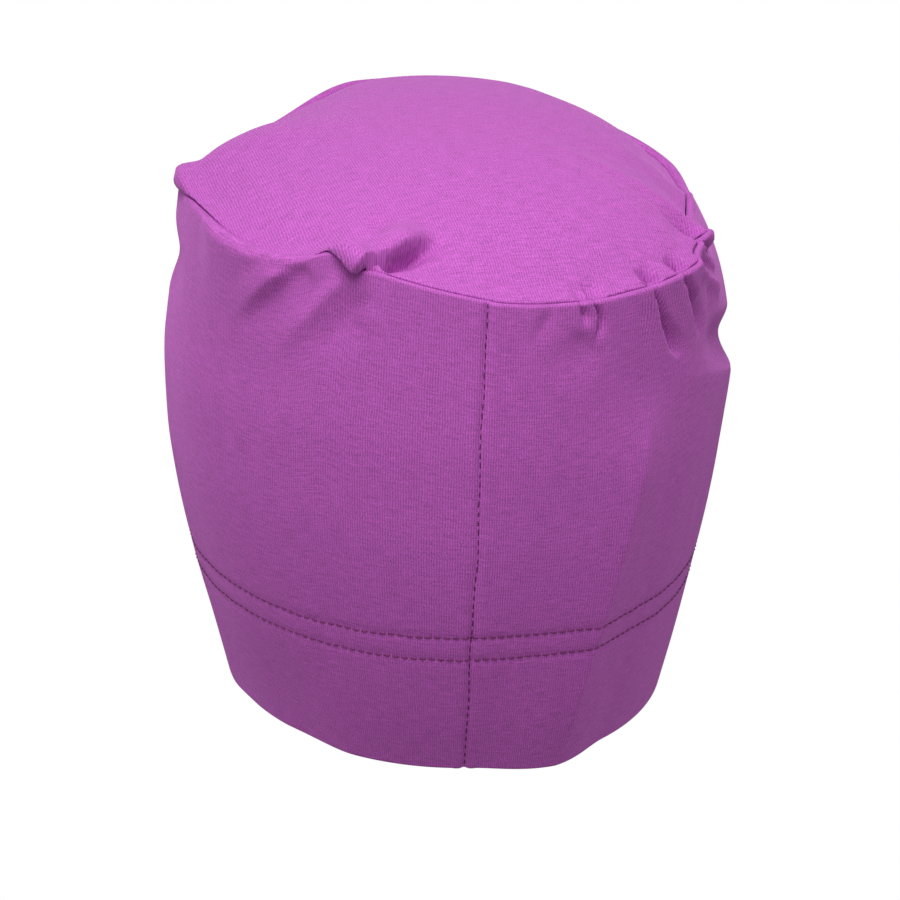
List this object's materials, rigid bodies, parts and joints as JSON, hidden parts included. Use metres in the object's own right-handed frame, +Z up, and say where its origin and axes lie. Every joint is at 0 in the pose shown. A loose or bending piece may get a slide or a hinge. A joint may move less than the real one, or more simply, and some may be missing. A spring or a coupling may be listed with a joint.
{
  "type": "turban",
  "caption": "Soft purple jersey turban with a round crown panel gathered into a side panel, worn, with a wide turned-up hem.",
  "frame": {"origin": "middle of the head opening, level with the hem's lower edge half way between nape and forehead", "axes": "+Z up as worn, forehead towards -Y, nape towards +Y, wearer's left towards +X"},
  "size_m": [0.1966, 0.2198, 0.2192],
  "materials": {
    "jersey": "matt fine-knit viscose jersey",
    "thread": "dark purple sewing thread"
  },
  "bodies": {
    "root": {"side_panel": "jersey", "crown_panel": "jersey", "back_seam_allowance": "jersey"}
  },
  "joints": []
}
